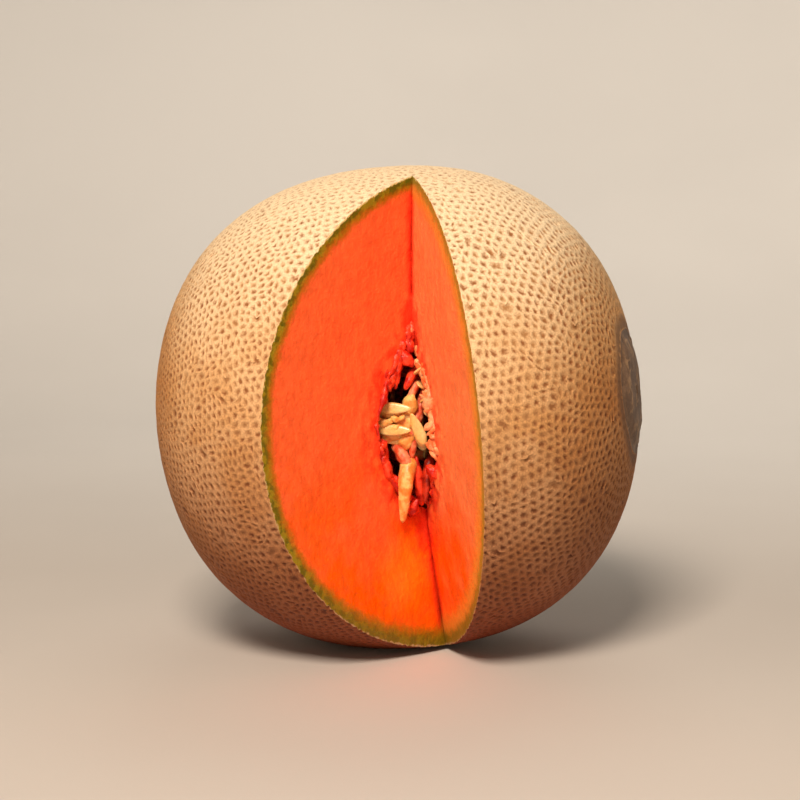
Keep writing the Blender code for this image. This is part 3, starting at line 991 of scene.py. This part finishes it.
def swept_form(shape, route, radius_at, lumps, sides=20, rings=36):
    """A soft closed form along a route, lumpy and stringy, added to the shape."""
    form = bmesh.ops.create_uvsphere(shape, u_segments=sides, v_segments=rings, radius=1.0)
    for corner in form["verts"]:
        share = math.acos(min(max(corner.co.z, -1.0), 1.0)) / math.pi
        angle = math.atan2(corner.co.y, corner.co.x)
        ahead = (route(min(share + 0.01, 1.0)) - route(max(share - 0.01, 0.0))).normalized()
        side = ahead.cross(Vector((0.3, 1.0, 0.2))).normalized()
        up = side.cross(ahead)
        out = side * math.cos(angle) + up * math.sin(angle)
        radius = radius_at(share) * math.sin(math.pi * share) ** 0.33
        spot = route(share) + out * radius
        stringy = noise.noise(Vector((math.cos(angle) * 2.2, math.sin(angle) * 2.2, share * 2.5)))
        knobby = noise.noise(spot / (2.6 * MM))
        corner.co = spot + out * radius * lumps * (0.6 * stringy + 0.5 * knobby)


def strand_swelling(share):
    """Share of its full thickness that a strand has here: quickly swelling, slowly tapering."""
    return 0.62 + 0.38 * math.sin(math.pi * (0.06 + 0.9 * share) ** 0.7)


def make_strands():
    for name, finish, start, bend, end, thickest in SOFT_STRANDS:
        shape = bmesh.new()
        add_strand(shape, start, bend, end, VISUAL_STRAND_SHARE * thickest, 0.3)
        material = pulp_material(finish)
        finished(f"soft_{name}", mesh_of(name, shape), "seed_pulp", material, node=name)


def add_strand(shape, start, bend, end, thickest, lumps):
    """A strand of pulp on a bend through points in millimetres from the middle."""
    first, second, last = (MIDDLE + Vector(point) * MM for point in (start, bend, end))

    def route(share):
        return first.lerp(second, share).lerp(second.lerp(last, share), share)

    def radius_at(share):
        return thickest * MM * strand_swelling(share)

    swept_form(shape, route, radius_at, lumps)


def make_pulp_cords():
    material = pulp_material("orange_pulp")
    for side, angle in (("upper", PULP_CORD_ANGLE), ("lower", -PULP_CORD_ANGLE)):
        across = Vector((0.0, math.cos(angle), math.sin(angle))) * PULP_CORD_OFFSET
        middle = HOLLOW_CENTRE + across

        def route(share):
            return middle + Vector(((2 * share - 1) * PULP_CORD_HALF_LENGTH, 0.0, 0.0))

        def radius_at(share):
            return PULP_CORD_RADIUS * (0.85 + 0.15 * math.sin(9 * share))

        shape = bmesh.new()
        swept_form(shape, route, radius_at, 0.2, rings=60)
        name = f"pulp_cord_{side}"
        finished(f"soft_{name}", mesh_of(name, shape), "seed_pulp", material, node=name)


def opening_edge(height, side):
    """Where the hollow's wall meets the right or left cut face at this height."""
    start = wedge_line(height) - HOLLOW_CENTRE
    outward = outward_way(side)
    scaled_start = in_hollow_radii(start)
    scaled_way = in_hollow_radii(outward)
    square = scaled_way.dot(scaled_way)
    middle = scaled_start.dot(scaled_way)
    rest = scaled_start.dot(scaled_start) - 1.0
    reach = (math.sqrt(max(middle ** 2 - square * rest, 0.0)) - middle) / square
    return HOLLOW_CENTRE + start + outward * reach


def add_lump(shape, centre, radii, lean, rng):
    """A small soft lump, stretched by its three radii and leaning about Y."""
    ball = bmesh.ops.create_icosphere(shape, subdivisions=3, radius=1.0)["verts"]
    turn = Matrix.Rotation(lean, 3, "Y")
    shift = Vector([rng.uniform(-9.0, 9.0) for axis in range(3)])
    for corner in ball:
        swell = 1.0 + 0.28 * noise.noise(corner.co * 1.5 + shift)
        swell += 0.10 * noise.noise(corner.co * 4.0 + shift)
        spot = Vector([corner.co[axis] * radii[axis] * swell for axis in range(3)])
        corner.co = centre + turn @ spot


def add_torn_lip(shape, side, highest, lowest, thickness, rng):
    """A torn soft lip down one edge of the opening, pinched and swollen by turns."""
    shift = rng.uniform(0.0, 50.0)
    run = (highest - lowest) / (2.4 * MM)

    def route(share):
        height = highest + (lowest - highest) * share
        wander = [noise.noise(Vector((share * run / 2, shift, 7.0 * axis))) for axis in range(3)]
        return opening_edge(height, side) + Vector(wander) * 1.2 * MM

    def radius_at(share):
        return thickness * (0.3 + 1.3 * abs(noise.noise(Vector((share * run, shift, 3.0)))))

    swept_form(shape, route, radius_at, 0.55, sides=14, rings=110)


def add_scattered_lumps(shape, side, highest, lowest, count, size, rng):
    """Torn bits of many sizes, lying anyhow along one edge of the opening."""
    for number in range(count):
        radius = size * rng.uniform(0.3, 1.0) ** 1.4
        centre = opening_edge(rng.uniform(lowest, highest), side)
        centre += Vector((rng.uniform(-1.2, 0.6) * side, rng.uniform(0.0, 3.0), 0.0)) * MM
        radii = [radius * rng.uniform(0.8, 1.3) for axis in range(2)]
        add_lump(shape, centre, (*radii, radius * rng.uniform(0.9, 2.8)), rng.uniform(-1.1, 1.1), rng)


def add_fringe(shape, side, highest, lowest, count, size, rng):
    """Short soft tags in a row down one edge of the opening, with gaps between them."""
    for number in range(count):
        centre = opening_edge(highest + (lowest - highest) * number / (count - 1), side)
        inward = rng.uniform(0.2, 1.8)
        centre += Vector((-inward * side, rng.uniform(-0.8, 0.6), rng.uniform(-0.9, 0.9))) * MM
        radii = (size * rng.uniform(0.7, 1.7), 0.6 * size, size * rng.uniform(0.3, 0.75))
        add_lump(shape, centre, radii, rng.uniform(-1.0, 1.0), rng)


def add_torn_top(shape, count, size, rng):
    """Torn bits over the top of the opening, lying on the left cut face beside the line."""
    for number in range(count):
        height = rng.uniform(19.0, 29.0)
        beside = rng.uniform(0.3, 1.0) * (30.0 - height) * 0.9
        centre = wedge_line(height * MM) + outward_way(LEFT) * beside * MM
        radius = size * rng.uniform(0.4, 1.0)
        radii = (radius * rng.uniform(0.8, 1.5), 0.8 * radius, radius * rng.uniform(0.8, 2.0))
        add_lump(shape, centre, radii, rng.uniform(-0.9, 0.9), rng)


def add_seed_bed(shape, rng):
    """The cream pulp under the stacked seeds, with small bits of it between them."""
    for number in range(SEED_BED_BITS):
        spot = Vector((rng.uniform(-0.5, 8.5), rng.uniform(-27.2, -25.2), rng.uniform(-9.5, 3.5)))
        size = rng.uniform(0.7, 1.3) * MM
        add_lump(shape, MIDDLE + spot * MM, (size * rng.uniform(1.2, 2.4), size, size),
                 rng.uniform(-0.8, 0.8), rng)
    for centre, radii in SEED_BED:
        add_lump(shape, MIDDLE + Vector(centre) * MM, Vector(radii) * MM, 0.0, rng)


def make_edge_pulp():
    """Torn pulp round the opening: pale lumps at the right, red ones at the left."""
    rng = random.Random(5)
    pale, red, web, bed = (bmesh.new() for finish in range(4))
    add_torn_lip(pale, RIGHT, 23 * MM, -13 * MM, 1.6 * MM, rng)
    add_scattered_lumps(pale, RIGHT, 21 * MM, -12 * MM, 30, 2.0 * MM, rng)
    add_torn_lip(red, LEFT, 24 * MM, -29 * MM, 1.1 * MM, rng)
    add_torn_lip(red, RIGHT, -14 * MM, -30 * MM, 1.3 * MM, rng)
    add_scattered_lumps(red, LEFT, 24 * MM, 8 * MM, 16, 1.7 * MM, rng)
    add_scattered_lumps(red, LEFT, -8 * MM, -30 * MM, 26, 1.6 * MM, rng)
    add_scattered_lumps(red, RIGHT, -16 * MM, -30 * MM, 16, 1.7 * MM, rng)
    for strand in RED_STRANDS:
        add_strand(red, *strand, 0.4)
    for strand in SALMON_STRANDS:
        add_strand(web, *strand, 0.45)
    add_fringe(pale, RIGHT, 8 * MM, -13 * MM, 12, 1.7 * MM, rng)
    add_torn_top(red, 16, 1.7 * MM, rng)
    add_torn_top(web, 5, 1.3 * MM, rng)
    add_seed_bed(bed, rng)
    pieces = (
        ("pale_edge_pulp", pale, "pale_pulp"),
        ("red_edge_pulp", red, "torn_red_pulp"),
        ("salmon_web_pulp", web, "salmon_pulp"),
        ("seed_bed_pulp", bed, "seed_bed"))
    for name, shape, finish in pieces:
        finished(name, mesh_of(name, shape), "seed_pulp", pulp_material(finish))


def make_floor():
    """A pale floor that curves up all round into a plain backdrop."""
    rings = 60
    points = []
    for number in range(rings + 1):
        run = FLOOR_REACH * number / rings
        rise = max(0.0, run - FLOOR_FLAT) / (FLOOR_REACH - FLOOR_FLAT)
        points.append((run, 0.0, FLOOR_RISE * rise ** FLOOR_CURVE - FLOOR_GAP))
    shape = turned_piece(points, (0, 0, 1), 96)
    if sum(face.normal.z for face in shape.faces) < 0.0:
        bmesh.ops.reverse_faces(shape, faces=shape.faces)
    floor = placed("pale_floor", mesh_of("pale_floor", shape))
    floor.data.materials.append(board_material())


def aimed(name, data, place, way):
    """A light or a camera at this place, looking this way."""
    thing = placed(name, data)
    thing.location = place
    thing.rotation_euler = way.to_track_quat("-Z", "Y").to_euler()
    return thing


def add_light(name, place, target, size, watts, hex_colour):
    light = bpy.data.lights.new(name, "AREA")
    light.size = size
    light.energy = watts
    light.color = linear(hex_colour)[:3]
    aimed(name, light, place, target - place)


def seen_from(azimuth, elevation, distance):
    """A place round the melon: azimuth 0 is in front, elevation is above the horizon."""
    level = math.cos(elevation)
    way = Vector((math.sin(azimuth) * level, -math.cos(azimuth) * level, math.sin(elevation)))
    return MIDDLE + way * distance


def add_camera():
    back = seen_from(CAMERA_AZIMUTH, CAMERA_ELEVATION, 1.0) - MIDDLE
    raised = Vector((0.0, 0.0, CAMERA_RAISE))
    lens = bpy.data.cameras.new("photo_view")
    lens.lens = CAMERA_LENS
    lens.clip_start = 0.01
    place = MIDDLE + raised + back * CAMERA_DISTANCE
    bpy.context.scene.camera = aimed("photo_view", lens, place, -back)


def make_stage(context):
    scene = context.scene
    make_floor()
    add_light(
        "key", seen_from(KEY_AZIMUTH, KEY_ELEVATION, 1.25), MIDDLE, size=0.36, watts=18.9,
        hex_colour="FFEAD6")
    add_light(
        "backdrop", Vector((0.0, 0.45, 0.95)), Vector((0.0, 1.5, 0.55)), size=1.0, watts=7.0,
        hex_colour="FFFAF2")
    add_light(
        "back", seen_from(math.pi, KEY_ELEVATION, 1.3), MIDDLE, size=0.8, watts=3.0,
        hex_colour="FFF4E6")
    world = bpy.data.worlds.new("soft_studio")
    world.use_nodes = True
    background = world.node_tree.nodes["Background"]
    background.inputs["Color"].default_value = linear("F2EEE8")
    background.inputs["Strength"].default_value = 0.07
    scene.world = world
    scene.view_settings.view_transform = "Standard"
    add_camera()


class MELON_OT_stage(bpy.types.Operator):
    """Makes the pale floor, the soft light and the camera"""
    bl_idname = "melon.stage"
    bl_label = "Stage"

    def execute(self, context):
        make_stage(context)
        return {"FINISHED"}


class MELON_OT_rind(bpy.types.Operator):
    """Makes the netted rind with the wedge taken out"""
    bl_idname = "melon.rind"
    bl_label = "Netted rind"

    def execute(self, context):
        make_rind(context)
        return {"FINISHED"}


class MELON_OT_scars(bpy.types.Operator):
    """Makes the blossom button and the stalk scar"""
    bl_idname = "melon.scars"
    bl_label = "Button and stalk scar"

    def execute(self, context):
        make_scars()
        return {"FINISHED"}


class MELON_OT_flesh(bpy.types.Operator):
    """Makes the flesh with its cut faces and its seed hollow"""
    bl_idname = "melon.flesh"
    bl_label = "Flesh"

    def execute(self, context):
        make_flesh(context)
        return {"FINISHED"}


class MELON_OT_seeds(bpy.types.Operator):
    """Makes every seed"""
    bl_idname = "melon.seeds"
    bl_label = "Seeds"

    def execute(self, context):
        make_seeds(context)
        return {"FINISHED"}


class MELON_OT_pulp(bpy.types.Operator):
    """Makes the cords and strands of pulp that hold the seeds"""
    bl_idname = "melon.pulp"
    bl_label = "Pulp"

    def execute(self, context):
        make_pulp_cords()
        make_strands()
        make_edge_pulp()
        return {"FINISHED"}


class MELON_PT_parts(bpy.types.Panel):
    """Lists the pieces of the melon"""
    bl_idname = "MELON_PT_parts"
    bl_label = "Netted melon"
    bl_space_type = "VIEW_3D"
    bl_region_type = "UI"
    bl_category = "Melon"

    def draw(self, context):
        for operator in OPERATORS:
            self.layout.operator(operator.bl_idname)
        for group in (context.scene.melon_sizes, context.scene.melon_colours):
            for name in group.__annotations__:
                self.layout.prop(group, name)


OPERATORS = (
    MELON_OT_stage, MELON_OT_rind, MELON_OT_scars, MELON_OT_flesh, MELON_OT_seeds,
    MELON_OT_pulp)
CLASSES = (MelonSizes, MelonColours, *OPERATORS, MELON_PT_parts)


def register():
    for item in CLASSES:
        bpy.utils.register_class(item)
    bpy.types.Scene.melon_sizes = bpy.props.PointerProperty(type=MelonSizes)
    bpy.types.Scene.melon_colours = bpy.props.PointerProperty(type=MelonColours)


def unregister():
    del bpy.types.Scene.melon_colours
    del bpy.types.Scene.melon_sizes
    for item in reversed(CLASSES):
        bpy.utils.unregister_class(item)


def main():
    register()
    bpy.ops.melon.stage()
    bpy.ops.melon.rind()
    bpy.ops.melon.scars()
    bpy.ops.melon.flesh()
    bpy.ops.melon.seeds()
    bpy.ops.melon.pulp()


if __name__ == "__main__":
    main()
